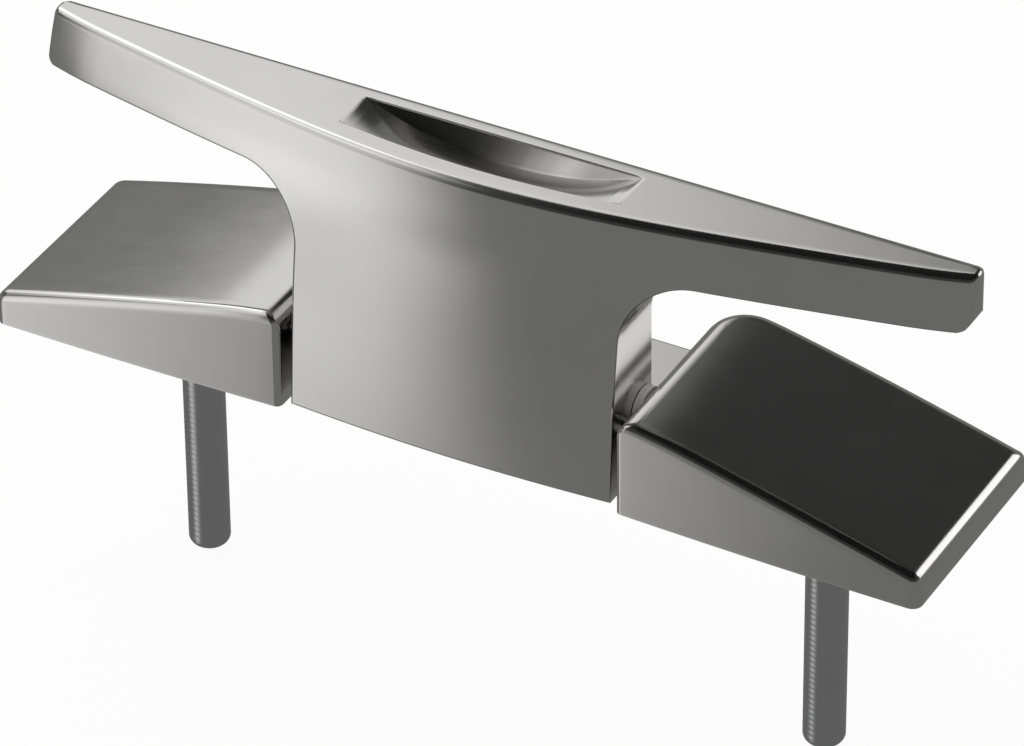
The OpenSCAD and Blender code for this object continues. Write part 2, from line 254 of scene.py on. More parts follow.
def bow(x):
    """How far the top's front draws back towards the tips."""
    reach = math.hypot(HORN_X, BOW_TURN) - BOW_TURN
    curl = max(0.0, (abs(x) - HORN_X) / TIP_CURL + 1) ** 2
    return (HORN_T - TIP_T) * (math.hypot(x, BOW_TURN) - BOW_TURN) / reach + curl * CURL_D


def lean(z):
    """How far the front leans out below the top."""
    return LEAN * (1 - math.exp((z - TOP_Z) / LEAN_H))


def horn_front(x, z):
    low_share = max(0.0, (ARM_Z - z) / (ARM_Z - FOOT_Z))
    bow_left = 1 - (1 - FOOT_BOW) * low_share ** FOOT_POWER
    return bow_left * bow(x) - HORN_T - lean(z)


def turning(z):
    """Where the shift starts behind, and over what depth it grows: the stem's back stays flat."""
    share = min(1.0, max(0.0, (ARM_Z - z) / ZONE_H))
    start = BACK_ZONE + (STEM_ZONE - BACK_ZONE) * share
    return start, BLANK_T - start - FRONT_ZONE


def bent_y(x, y, z):
    start, depth = turning(z)
    share = min(1.0, max(0.0, (-y - start) / depth))
    return y + (horn_front(x, z) + BLANK_T) * share


def straight_y(x, y, z):
    """The place in the blank that the bend takes to y."""
    start, depth = turning(z)
    shift = horn_front(x, z) + BLANK_T
    return (y + shift * start / depth) / (1 - shift / depth)

print("front at the middle and the tip:", round(horn_front(0, TOP_Z), 1),
    round(horn_front(HORN_X, TOP_Z), 1))

# %% [markdown]
# ## The finger scoop
# Fingers reach under the horn's top through a scoop: a steep back wall, and a floor that
# rises from it to a rim that follows the bowed front. The floor starts as a flat grid. Each
# of its vertices is moved to a height whose slope eases off towards the rim, so that the
# floor runs out softly into the top, and the sheet is then extruded upwards into a cutter.
# The cut is made while the horn is still straight, so that its rim can be rounded with the
# horn's other edges.

# %% Cut the scoop
SCOOP_HALF, SCOOP_BACK, SCOOP_D = 35.0, 5.2, 7.0
RIM_W, RIM_D = 5.8, 1.2
END_POWER, EASE = 2.2, 1.35
PAST_END, PAST_TOP = 1.04, 3.0


def scoop_floor(u, t):
    """The floor's point for u from -1 to 1 along it and t from 0 at its back to 1 at its rim."""
    share = PAST_END * u
    x = SCOOP_HALF * share
    hollow = 1 - abs(share) ** END_POWER
    wide = -SCOOP_BACK - (horn_front(x, TOP_Z) + RIM_W)
    depth = RIM_D + (SCOOP_D - RIM_D) * max(0.0, 1 - t) ** EASE
    return Vector((x, straight_y(x, -SCOOP_BACK - wide * t, TOP_Z), TOP_Z - depth * hollow))

bm = bmesh.new()
bmesh.ops.create_grid(bm, x_segments=52, y_segments=12, size=1)
for v in bm.verts:
    v.co = scoop_floor(v.co.x, (v.co.y + 1) / 2)
lid = bmesh.ops.extrude_face_region(bm, geom=bm.faces[:])
for v in lid["geom"]:
    if isinstance(v, bmesh.types.BMVert):
        v.co.z = TOP_Z + PAST_TOP
tidy(bm)
cut(horn, piece("scoop", bm))
print("horn with its scoop:", len(horn.data.polygons), "faces")

# %% [markdown]
# A cast and polished edge is never sharp. Every edge gets a bevel weight, which is the share
# of one common width that its own radius needs: 0.8 mm all round, more along the top and at
# the tips, and less at the scoop's rim. One Bevel modifier then rounds them all.

# %% Round the horn's edges
ALL_R, RIM_R = 0.8, 0.6
TOP_FRONT_R, TOP_BACK_R = 1.6, 2.6
TIP_FRONT_R, TIP_BACK_R, TIP_TOP_R, TIP_LOW_R = 1.6, 3.4, 1.4, 2.6
HORN_WIDTH, MARGIN = 5.0, 1.0


def weigh(bm, width, radius, inside, wanted=lambda a, b: True):
    """Marks the edges whose two ends are both inside, to be rounded with this radius."""
    layer = bm.edges.layers.float.get("bevel_weight_edge") \
        or bm.edges.layers.float.new("bevel_weight_edge")
    for edge in bm.edges:
        a, b = edge.verts[0].co, edge.verts[1].co
        if inside(a) and inside(b) and wanted(a, b):
            edge[layer] = radius / width


def rounded(made, width, steps):
    """Rounds the edges that carry a bevel weight, the share of width that each one gets."""
    step = made.modifiers.new("round", "BEVEL")
    step.limit_method = "WEIGHT"
    step.width = width
    step.segments = steps
    step.profile = 0.5
    step.use_clamp_overlap = False
    return bake(made)

bm = bmesh.new()
bm.from_mesh(horn.data)
weigh(bm, HORN_WIDTH, ALL_R, lambda p: at(p.y, -BLANK_T))
weigh(bm, HORN_WIDTH, ALL_R, lambda p: at(p.y, 0),
    lambda a, b: not (at(a.z, ARM_Z) and at(b.z, ARM_Z)))
weigh(bm, HORN_WIDTH, RIM_R, lambda p: at(p.z, TOP_Z) and abs(p.x) < SCOOP_HALF + MARGIN
    and MARGIN - BLANK_T < p.y < -MARGIN)
for y, radius in ((-BLANK_T, TIP_FRONT_R), (0, TIP_BACK_R)):
    weigh(bm, HORN_WIDTH, radius, lambda p: at(abs(p.x), HORN_X) and at(p.y, y))
for z, radius in ((TOP_Z, TIP_TOP_R), (ARM_Z, TIP_LOW_R)):
    weigh(bm, HORN_WIDTH, radius, lambda p: at(abs(p.x), HORN_X) and at(p.z, z),
        lambda a, b: not at(a.y, b.y))
for y, radius in ((-BLANK_T, TOP_FRONT_R), (0, TOP_BACK_R)):
    weigh(bm, HORN_WIDTH, radius, lambda p: at(p.z, TOP_Z) and at(p.y, y))
bm.to_mesh(horn.data)
bm.free()
rounded(horn, HORN_WIDTH, 6)
print("horn with its roundings:", len(horn.data.polygons), "faces")

# %% [markdown]
# Now the blank is sliced across its length and its height, so that there are enough vertices
# to follow the bow, and every vertex is pushed to its bent place.

# %% Bend the horn
def spread(low, high, step, ends=False):
    """Evenly spaced places between two limits, with the limits themselves if asked."""
    count = max(1, round((high - low) / step))
    places = [low + (high - low) * i / count for i in range(1, count)]
    return places + [low, high] if ends else places


def slice_up(bm, axis, places):
    """Cuts the whole mesh by planes across one axis."""
    normal = Vector([1.0 if i == axis else 0.0 for i in range(3)])
    for place in places:
        bmesh.ops.bisect_plane(bm, geom=bm.verts[:] + bm.edges[:] + bm.faces[:],
            dist=1e-5, plane_co=normal * place, plane_no=normal)

bm = bmesh.new()
bm.from_mesh(horn.data)
slice_up(bm, 0, spread(-HORN_X, HORN_X, 4))
slice_up(bm, 2, spread(FOOT_Z, TOP_Z - TOP_FRONT_R, 4))
slice_up(bm, 1, [-BACK_ZONE, -STEM_ZONE, FRONT_ZONE - BLANK_T])
for v in bm.verts:
    v.co.y = bent_y(v.co.x, v.co.y, v.co.z)
to_metres(bm)
face_outwards(bm)
bm.to_mesh(horn.data)
bm.free()
print("bent horn:", len(horn.data.polygons), "faces, box", [round(v, 4) for v in horn.dimensions])

# %% [markdown]
# ## Hinge barrel
# The hinge pins run in a barrel that is cast in one with the stem. It only shows from behind
# and in the narrow gaps beside the stem. It is a rod with a thinner neck at each end, joined
# to the stem and bored for its bushes.

# %% Add the barrel and its bores
BARREL_R, BARREL_IN = 8.85, 4.6
NECK_R = 5.85
BUSH_R, BORE_L = 4.85, 19.1
FIT, OVER = 0.02, 1.0


def hinge_rod(bm, radius, start, end, sides=64):
    """A rod along the hinge axis between two places across the horn."""
    rod(bm, radius, (start, PIVOT_Y, PIVOT_Z), (end, PIVOT_Y, PIVOT_Z), sides)

for name, radius, end in (("barrel", BARREL_R, STEM_X - BARREL_IN), ("necks", NECK_R, STEM_X)):
    bm = bmesh.new()
    hinge_rod(bm, radius, -end, end)
    to_metres(bm)
    cut(horn, piece(name, bm), "UNION")
bm = bmesh.new()
for side in (-1, 1):
    hinge_rod(bm, BUSH_R + FIT, side * (STEM_X - BORE_L), side * (STEM_X + OVER))
to_metres(bm)
cut(horn, piece("bush_bores", bm))
print("horn with its barrel:", len(horn.data.polygons), "faces")

# %% [markdown]
# A spring-loaded nose in each cheek holds the horn up or down. It runs in a shallow track in
# the stem's end, a quarter turn round the hinge, and drops into a deeper notch at each end.
# A track is a small rectangle spun through that quarter turn, and a notch is a short bore.

# %% Cut the detent tracks and notches
DETENT_R, NOSE_R, TRACK_D = 7.8, 1.6, 0.6
NOTCH_R, NOTCH_D = 2.0, 1.2
NOSE_Y = PIVOT_Y - DETENT_R

bm = bmesh.new()
for side in (-1, 1):
    deep, out = side * (STEM_X - TRACK_D), side * (STEM_X + OVER)
    path = [(deep, DETENT_R - NOSE_R), (out, DETENT_R - NOSE_R), (out, DETENT_R + NOSE_R),
        (deep, DETENT_R + NOSE_R)]
    start = [bm.verts.new((x, PIVOT_Y - r, PIVOT_Z)) for x, r in path]
    bmesh.ops.spin(bm, geom=[bm.faces.new(start)], cent=(0, PIVOT_Y, PIVOT_Z), axis=(1, 0, 0),
        angle=math.pi / 2, steps=24)
to_metres(bm)
face_outwards(bm)
cut(horn, piece("detent_tracks", bm))

bm = bmesh.new()
for side in (-1, 1):
    deep, out = side * (STEM_X - NOTCH_D), side * (STEM_X + OVER)
    for y, z in ((NOSE_Y, PIVOT_Z), (PIVOT_Y, PIVOT_Z - DETENT_R)):
        rod(bm, NOTCH_R, (deep, y, z), (out, y, z), 32)
to_metres(bm)
cut(horn, piece("detent_notches", bm))
print("horn with its detent tracks:", len(horn.data.polygons), "faces")

# %% [markdown]
# Smooth shading makes the many slices look like one curve. Edges that turn sharply stay
# sharp, and each normal leans towards its largest face, so that the flat faces mirror the
# room without waves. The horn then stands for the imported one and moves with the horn's body.

# %% Shade the horn and put it in its place
def smooth(made, angle=32):
    """Shades a piece smooth but keeps its sharp edges, and lets large flats stay flat."""
    made.data.shade_smooth()
    made.data.set_sharp_from_angle(angle=math.radians(angle))
    step = made.modifiers.new("flats", "WEIGHTED_NORMAL")
    step.keep_sharp = True
    step.weight = 80
    return bake(made)

smooth(horn)
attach(horn, "horn")
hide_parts("horn")
print("horn:", len(horn.data.polygons), "faces")

# %% [markdown]
# ## The base
# The base is one casting too: two hollow wedges and a low bridge behind the stem. A wedge's
# top slopes down to its outer end with a slight crown and eases over towards its inner edge,
# and its front swells a little. It is modelled as the horn is: a straight block first, then
# a bend that only moves what lies between its rounded edges.

# %% How a wedge bends
WEDGE_H, WEDGE_LOW, WEDGE_CROWN = 26.0, 7.8, 0.8
WEDGE_FRONT, WEDGE_FLARE, WEDGE_BULGE = 33.8, 1.1, 0.4
WALL = 4.0
TOP_ZONE, END_ZONE = 5.2, 3.0
SAG, SAG_L = 1.0, 17.0


def wedge_top(x):
    share = (x - CHEEK_X) / (BASE_X - CHEEK_X)
    eased = SAG * max(0.0, 1 - (x - CHEEK_X) / SAG_L) ** 2
    return WEDGE_H + (WEDGE_LOW - WEDGE_H) * share + 4 * WEDGE_CROWN * share * (1 - share) - eased


def wedge_face(x):
    share = (x - CHEEK_X) / (BASE_X - CHEEK_X)
    return -WEDGE_FRONT - WEDGE_FLARE * share - 4 * WEDGE_BULGE * share * (1 - share)


def wedge_bend(p):
    x = min(max(p.x, CHEEK_X), BASE_X)
    up = min(1.0, max(0.0, p.z / (WEDGE_H - TOP_ZONE)))
    ahead = min(1.0, max(0.0, (BASE_BACK - WALL - p.y) / (BASE_BACK + WEDGE_FRONT - 2 * WALL)))
    return Vector((p.x, p.y + (wedge_face(x) + WEDGE_FRONT) * ahead,
        p.z + (wedge_top(x) - WEDGE_H) * up))

print("wedge's top at its inner and outer end:", round(wedge_top(CHEEK_X), 1),
    round(wedge_top(BASE_X), 1))

# %% [markdown]
# The block's inner back corner has a large radius. Along the top, the inner edge, that corner
# and the back edge share one wide rounding, and the other edges a smaller one. The same
# function makes the block and its hollow. Bosses stay in the hollow where the stud and the
# detent's spring sit.

# %% One wedge, still straight
CHEEK = 9.0
CORNER_R, EDGE_R, INNER_R, FRONT_SHARE = 11.0, 2.5, 4.6, 0.6
HOLLOW_CORNER_R, HOLLOW_R = 8.0, 2.0
HOLLOW_LOW, BOSS_LOW = -3.0, -4.0
BOSS_R = 10.0
DETENT_HALF, DETENT_L = 5.5, 19.4


def upright(a, b):
    return at(a.x, b.x) and at(a.y, b.y)


def wedge_blank(name, low, high, corner, edge, inner_edge, steps):
    """A rounded box whose inner back corner has a large radius."""
    bm = bmesh.new()
    block(bm, low, high)
    inner = [e for e in bm.edges if all(at(v.co.x, low[0]) and at(v.co.y, high[1])
        for v in e.verts)]
    bevel(bm, inner, corner, 14)
    weigh(bm, edge, edge, lambda p: at(p.x, high[0]), upright)
    weigh(bm, edge, edge * FRONT_SHARE, lambda p: at(p.x, low[0]) and at(p.y, low[1]), upright)
    weigh(bm, edge, edge, lambda p: at(p.z, high[2]))
    weigh(bm, edge, inner_edge, lambda p: at(p.z, high[2]) and (p.x < low[0] + corner
        or at(p.y, high[1])), lambda a, b: not (at(a.y, low[1]) and at(b.y, low[1])))
    return rounded(piece(name, bm), edge, steps)

blank = wedge_blank("wedge", (CHEEK_X, -WEDGE_FRONT, 0), (BASE_X, BASE_BACK, WEDGE_H),
    CORNER_R, EDGE_R, INNER_R, 8)
hollow = wedge_blank("hollow", (CHEEK_X + CHEEK, WALL - WEDGE_FRONT, HOLLOW_LOW),
    (BASE_X - WALL, BASE_BACK - WALL, WEDGE_H - WALL), HOLLOW_CORNER_R, HOLLOW_R, HOLLOW_R, 4)
bm = bmesh.new()
rod(bm, BOSS_R, (STUD_X, STUD_Y, BOSS_LOW), (STUD_X, STUD_Y, WEDGE_H), 64)
cut(hollow, piece("stud_boss", bm))
bm = bmesh.new()
block(bm, (CHEEK_X, NOSE_Y - DETENT_HALF, PIVOT_Z - DETENT_HALF),
    (CHEEK_X + DETENT_L, NOSE_Y + DETENT_HALF, WEDGE_H))
cut(hollow, piece("detent_boss", bm))
cut(blank, hollow)
print("wedge blank:", len(blank.data.polygons), "faces")

# %% [markdown]
# The left wedge is the mirror image of the right one. Mirroring turns a mesh inside out, so
# its normals are worked out again.

# %% Bend the wedge and mirror it
bm = bmesh.new()
bm.from_mesh(blank.data)
bpy.data.objects.remove(blank)
slice_up(bm, 0, spread(CHEEK_X + TOP_ZONE, BASE_X - END_ZONE, 2.5, ends=True))
slice_up(bm, 1, spread(WALL - WEDGE_FRONT, BASE_BACK - TOP_ZONE, 6, ends=True))
slice_up(bm, 2, [WEDGE_H - TOP_ZONE])
for v in bm.verts:
    v.co = wedge_bend(v.co)
both_sides = bmesh.ops.duplicate(bm, geom=bm.verts[:] + bm.edges[:] + bm.faces[:])
other = [v for v in both_sides["geom"] if isinstance(v, bmesh.types.BMVert)]
bmesh.ops.scale(bm, verts=other, vec=(-1, 1, 1))
to_metres(bm)
face_outwards(bm)
base = piece("base_casting", bm)
print("two wedges:", len(base.data.polygons), "faces")

# %% [markdown]
# The bridge is a low bar behind the stem that makes the two wedges one casting. It runs far
# enough into each to leave no seam.

# %% Add the bridge
BRIDGE_H, BRIDGE_IN, BRIDGE_GAP = 7.0, 10.9, 0.3
BACK_EDGE_R, FRONT_EDGE_R = 1.0, 0.6

bm = bmesh.new()
reach = CHEEK_X + BRIDGE_IN
bridge_front = BRIDGE_GAP - STEM_BACK
block(bm, (-reach, bridge_front, 0), (reach, BASE_BACK, BRIDGE_H))
for radius, place in ((BACK_EDGE_R, BASE_BACK), (FRONT_EDGE_R, bridge_front)):
    bevel(bm, [e for e in bm.edges if all(at(v.co.z, BRIDGE_H) and at(v.co.y, place)
        for v in e.verts)], radius, 4)
to_metres(bm)
face_outwards(bm)
cut(base, piece("bridge", bm), "UNION")
print("base with its bridge:", len(base.data.polygons), "faces")

# %% [markdown]
# Bores for what is pressed and screwed into the base: hinge pins and detent noses through the
# cheeks, grub screws and studs from below, and the two rest buttons in the bridge. Each bore
# is a hair wider than what it holds.

# %% Bore the base
PIN_R, NOSE_SHAFT_R, GRUB_R = 4.0, 2.0, 2.0
BUTTON_SHANK, SHANK_R = 3.0, 4.2
NOSE_FIT, SHANK_FIT = 0.05, 0.05
NOSE_BORE_L, GRUB_TOP = 14.0, 3.0

bm = bmesh.new()
for side, word in ((-1, "left"), (1, "right")):
    out = side * (CHEEK_X - OVER)
    hinge_rod(bm, PIN_R + FIT, out, side * (CHEEK_X + CHEEK + OVER), 48)
    rod(bm, NOSE_SHAFT_R + NOSE_FIT, (out, NOSE_Y, PIVOT_Z),
        (side * (CHEEK_X + NOSE_BORE_L), NOSE_Y, PIVOT_Z))
    grub_x = side * (CHEEK_X + CHEEK / 2)
    rod(bm, GRUB_R + FIT, (grub_x, PIVOT_Y, -OVER), (grub_x, PIVOT_Y, PIVOT_Z - GRUB_TOP))
    button = middle_of(word + "_rest_button")
    rod(bm, BUTTON_SHANK + FIT, (button.x, button.y, -OVER), (button.x, button.y, BRIDGE_H + OVER))
    rod(bm, SHANK_R + FIT, (side * STUD_X, STUD_Y, -OVER),
        (side * STUD_X, STUD_Y, STUD_TOP + SHANK_FIT))
to_metres(bm)
cut(base, piece("bores", bm))
smooth(base)
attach(base, "base")
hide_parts("base")
print("base:", len(base.data.polygons), "faces")

# %% [markdown]
# ## The studs
# Each stud is a length of rod whose thread is polished nearly flat. Its side is one upright
# line of points, spun round the stud's axis. Every vertex is then drawn inwards by a wave
# that runs down the stud and moves by one pitch on its way round, which is what makes a
# helix. The end is rounded off by a limit on the radius, and the part in the casting is a
# plain shank.

# %% Make the studs
STUD_R, THREAD_D, THREAD_P = 5.0, 0.025, 1.5
END_R = 2.4
SIDES, PER_PITCH = 48, 12


def thread_radius(turn):
    """The stud's radius at a share of the pitch, a soft wave between crest and root."""
    return STUD_R - THREAD_D * (1 - math.cos(math.tau * turn)) / 2


def end_radius(z):
    """The most that the rounded end allows."""
    left = max(0.0, END_R - (z - STUD_END))
    return STUD_R - END_R + math.sqrt(max(0.0, END_R ** 2 - left ** 2))


def stud(name, side):
    bm = bmesh.new()
    count = round(-STUD_END / THREAD_P * PER_PITCH)
    line = [bm.verts.new((STUD_R, 0, STUD_END * (1 - i / count))) for i in range(count + 1)]
    line += [bm.verts.new((SHANK_R, 0, z)) for z in (0, STUD_TOP)]
    rows = [bm.edges.new(pair) for pair in zip(line, line[1:])]
    bmesh.ops.spin(bm, geom=line + rows, cent=(0, 0, 0), axis=(0, 0, 1), angle=math.tau,
        steps=SIDES, use_merge=True)
    for v in bm.verts:
        if at(v.co.xy.length, STUD_R):
            turn = math.atan2(v.co.y, v.co.x) / math.tau
            radius = min(end_radius(v.co.z), thread_radius(v.co.z / THREAD_P + turn))
            v.co.xy = v.co.xy.normalized() * radius
    bmesh.ops.holes_fill(bm, edges=bm.edges[:], sides=SIDES)
    tidy(bm)
    bmesh.ops.translate(bm, verts=bm.verts[:], vec=(side * STUD_X, STUD_Y, 0))
    to_metres(bm)
    made = smooth(piece(name, bm), 40)
    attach(made, "base")
    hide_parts(("left" if side < 0 else "right") + "_stud")
    return made

studs = [stud("left_threaded_stud", -1), stud("right_threaded_stud", 1)]
print("studs:", [len(s.data.polygons) for s in studs], "faces")

# %% [markdown]
# ## The rest buttons
# Two rubber buttons in the bridge catch the folded horn. Each is turned: a profile with a
# rounded rim is spun round an upright line.

# %% Turn the rest buttons
BUTTON_RIM, RIM_STEPS = 1.2, 6


def rest_button(word):
    low, high = size_of(word + "_rest_button")
    radius, middle = (high.x - low.x) / 2, (low + high) / 2
    profile = [(0, low.z), (BUTTON_SHANK, low.z), (BUTTON_SHANK, BRIDGE_H), (radius, BRIDGE_H)]
    for i in range(RIM_STEPS + 1):
        a = math.pi / 2 * i / RIM_STEPS
        profile.append((radius - BUTTON_RIM * (1 - math.cos(a)),
            high.z - BUTTON_RIM * (1 - math.sin(a))))
    profile.append((0, high.z))
    bm = bmesh.new()
    line = [bm.verts.new((r, 0, z)) for r, z in profile]
    rows = [bm.edges.new(pair) for pair in zip(line, line[1:])]
    bmesh.ops.spin(bm, geom=line + rows, cent=(0, 0, 0), axis=(0, 0, 1), angle=math.tau,
        steps=SIDES, use_merge=True)
    tidy(bm)
    bmesh.ops.translate(bm, verts=bm.verts[:], vec=(middle.x, middle.y, 0))
    to_metres(bm)
    made = smooth(piece(word + "_button", bm), 40)
    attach(made, "base")
    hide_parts(word + "_rest_button")
    return made

buttons = [rest_button("left"), rest_button("right")]
print("buttons:", [len(b.data.polygons) for b in buttons], "faces")

# %% [markdown]
# ## Finishes
# Polished stainless steel is almost a mirror, but never a perfect one. Fine polishing lines,
# faint clouds where the wheel pressed harder and a lighter tone painted along the edges as a
# highlight make it believable.
# These effects are shader node groups, so that every finish can use them with its own values.

# %% Helpers for node trees
def new_group(name, inputs, outputs):
    group = bpy.data.node_groups.new(name, "ShaderNodeTree")
    for label, kind, value in inputs:
        group.interface.new_socket(label, in_out="INPUT", socket_type=kind).default_value = value
    for label, kind in outputs:
        group.interface.new_socket(label, in_out="OUTPUT", socket_type=kind)
    return group, group.nodes.new("NodeGroupInput"), group.nodes.new("NodeGroupOutput")


def add(tree, kind, values=None, **settings):
    """Adds a node; each value is a number for its socket or a socket to link from."""
    node = tree.nodes.new(kind)
    for key, value in settings.items():
        setattr(node, key, value)
    for key, value in (values or {}).items():
        if isinstance(value, bpy.types.NodeSocket):
            tree.links.new(value, node.inputs[key])
        else:
            node.inputs[key].default_value = value
    return node


def blend(tree, share, first, second):
    """Mixes two colours, each given as three numbers or as a socket."""
    mix = add(tree, "ShaderNodeMix", data_type="RGBA")
    colours = [s for s in mix.inputs if s.type == "RGBA"]
    for socket, colour in zip(colours, (first, second)):
        if isinstance(colour, bpy.types.NodeSocket):
            tree.links.new(colour, socket)
        else:
            socket.default_value = (*colour, 1)
    tree.links.new(share, mix.inputs[0])
    return next(s for s in mix.outputs if s.type == "RGBA")


def work_out(tree, operation, first, second):
    """One step of arithmetic between two values."""
    return add(tree, "ShaderNodeMath", {0: first, 1: second}, operation=operation).outputs[0]

print("node helpers ready")

# %% [markdown]
# The grain group stretches a fine noise along the casting's length, for the wheel's lines,
# and adds slow clouds. It puts out a roughness, a height for a bump and the clouds.

# %% Node group: grain
grain, start, end = new_group("grain",
    [("Scale", "NodeSocketFloat", 400.0), ("Stretch", "NodeSocketVector", (0.06, 1.0, 1.0)),
     ("Clouds", "NodeSocketFloat", 35.0), ("Roughness", "NodeSocketFloat", 0.2),
     ("Spread", "NodeSocketFloat", 0.06)],
    [("Roughness", "NodeSocketFloat"), ("Height", "NodeSocketFloat"), ("Cloud", "NodeSocketFloat")])
where = add(grain, "ShaderNodeTexCoord").outputs["Object"]
pulled = add(grain, "ShaderNodeVectorMath", {0: where, 1: start.outputs["Stretch"]},
    operation="MULTIPLY").outputs[0]
lines = add(grain, "ShaderNodeTexNoise", {"Vector": pulled, "Scale": start.outputs["Scale"],
    "Detail": 3.0, "Roughness": 0.6}).outputs["Fac"]
clouds = add(grain, "ShaderNodeTexNoise", {"Vector": where, "Scale": start.outputs["Clouds"],
    "Detail": 4.0, "Roughness": 0.55}).outputs["Fac"]
total = work_out(grain, "ADD", lines, clouds)
level = work_out(grain, "SUBTRACT", total, 1.0)
rough = add(grain, "ShaderNodeMath", {0: level, 1: start.outputs["Spread"],
    2: start.outputs["Roughness"]}, operation="MULTIPLY_ADD", use_clamp=True).outputs[0]
for name, socket in (("Roughness", rough), ("Height", lines), ("Cloud", clouds)):
    grain.links.new(socket, end.inputs[name])
print("node group:", grain.name)

# %% [markdown]
# The edge group marks where each finish paints a highlight along the edges. It finds them by
# comparing
# the true normal with a rounded one: its mask is 0 on a flat face and rises towards 1 on an edge.

# %% Node group: edges, the mask of the painted edge highlight
edge_highlight_group, start, end = new_group("edges",
    [("Radius", "NodeSocketFloat", 0.0012), ("Strength", "NodeSocketFloat", 6.0)],
    [("Mask", "NodeSocketFloat")])
true_normal = add(edge_highlight_group, "ShaderNodeNewGeometry").outputs["Normal"]
soft_normal = add(edge_highlight_group, "ShaderNodeBevel", {"Radius": start.outputs["Radius"]},
    samples=4).outputs[0]
same = add(edge_highlight_group, "ShaderNodeVectorMath", {0: true_normal, 1: soft_normal},
    operation="DOT_PRODUCT").outputs["Value"]
apart = work_out(edge_highlight_group, "SUBTRACT", 1.0, same)
mask = add(edge_highlight_group, "ShaderNodeMath", {0: apart, 1: start.outputs["Strength"]},
    operation="MULTIPLY", use_clamp=True).outputs[0]
edge_highlight_group.links.new(mask, end.inputs["Mask"])
print("node group:", edge_highlight_group.name)

# %% [markdown]
# One recipe then serves every finish. It blends two close tones by the clouds, paints a lighter
# tone on the edges as a highlight, and feeds the grain to the roughness and to a very fine bump.

# %% The finishes
def finish(name, dark, light, edge, roughness, spread=0.05, scale=400.0,
        stretch=(0.06, 1.0, 1.0), bump=0.03, metallic=1.0):
    made = bpy.data.materials.new(name)
    made.use_nodes = True
    tree = made.node_tree
    shader = tree.nodes["Principled BSDF"]
    shader.inputs["Metallic"].default_value = metallic
    surface = add(tree, "ShaderNodeGroup", node_tree=grain)
    for key, value in (("Scale", scale), ("Stretch", stretch), ("Roughness", roughness),
            ("Spread", spread)):
        surface.inputs[key].default_value = value
    # The edge colour is a lighter tone painted along the edges as a highlight.
    edge_highlight_mask = add(tree, "ShaderNodeGroup", node_tree=edge_highlight_group).outputs["Mask"]
    tone = blend(tree, surface.outputs["Cloud"], dark, light)
    tree.links.new(blend(tree, edge_highlight_mask, tone, edge), shader.inputs["Base Color"])
    tree.links.new(surface.outputs["Roughness"], shader.inputs["Roughness"])
    fine = add(tree, "ShaderNodeBump", {"Height": surface.outputs["Height"], "Strength": bump,
        "Distance": 0.0002})
    tree.links.new(fine.outputs["Normal"], shader.inputs["Normal"])
    return made

even = (1.0, 1.0, 1.0)
# Each finish: a dark and a light tone blended by the clouds, then a lighter edge tone, a painted
# highlight along its edges.
finishes = {
    "cast": finish("polished_cast_steel", (0.59, 0.585, 0.575), (0.67, 0.665, 0.655),
        (0.74, 0.735, 0.725), 0.16),
    "stud": finish("threaded_steel", (0.47, 0.475, 0.47), (0.58, 0.585, 0.58),
        (0.72, 0.72, 0.71), 0.27, stretch=(1.0, 1.0, 0.05), scale=500),
    "pin": finish("ground_pin_steel", (0.56, 0.56, 0.55), (0.64, 0.64, 0.63),
        (0.72, 0.72, 0.71), 0.2, stretch=(1.0, 0.08, 0.08)),
    "bronze": finish("bearing_bronze", (0.50, 0.29, 0.12), (0.62, 0.38, 0.17),
        (0.75, 0.52, 0.28), 0.3, stretch=even),
    "nylon": finish("white_nylon", (0.60, 0.59, 0.55), (0.72, 0.71, 0.67),
        (0.80, 0.79, 0.76), 0.45, stretch=even, metallic=0.0),
    "screw": finish("screw_steel", (0.45, 0.45, 0.45), (0.56, 0.56, 0.56),
        (0.68, 0.68, 0.68), 0.28, stretch=even, scale=700),
    "spring": finish("spring_steel", (0.40, 0.40, 0.41), (0.52, 0.52, 0.53),
        (0.64, 0.64, 0.65), 0.3, stretch=even, scale=1200),
    "rubber": finish("black_rubber", (0.018, 0.018, 0.018), (0.03, 0.03, 0.03),
        (0.05, 0.05, 0.05), 0.6, stretch=even, bump=0.2, metallic=0.0),
}
print("finishes:", sorted(finishes))

# %% [markdown]
# The new castings, studs and buttons get theirs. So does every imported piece, by a word in its
# name: the pins, bushes, washers, screws, plugs and springs are shown as they were packed.

# %% Put the finishes on
def wear_finish(thing, key):
    thing.data.materials.clear()
    thing.data.materials.append(finishes[key])

for made in (horn, base):
    wear_finish(made, "cast")
for made in studs:
    wear_finish(made, "stud")
for made in buttons:
    wear_finish(made, "rubber")
by_word = {"stud": "stud", "bush": "bronze", "washer": "nylon", "screw": "screw",
    "plug": "screw", "spring": "spring", "button": "rubber", "pin": "pin", "horn": "cast",
    "base": "cast"}
for node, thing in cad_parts.items():
    wear_finish(thing, next(by_word[word] for word in by_word if word in node))
print("packed pieces with a finish:", len(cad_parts))

# %% [markdown]
# ## Floor, camera and light
# The floor is a pale sheet just below the ends of the studs. The camera sees it as paper
# white, apart from the soft shadow. The castings are mirrors, but the floor is hidden from
# them: what they mirror is the room, which comes further down.

# %% The floor
FLOOR_SIZE, FLOOR_GAP = 12.0, 0.5
floor_z = (STUD_END - FLOOR_GAP) * MM

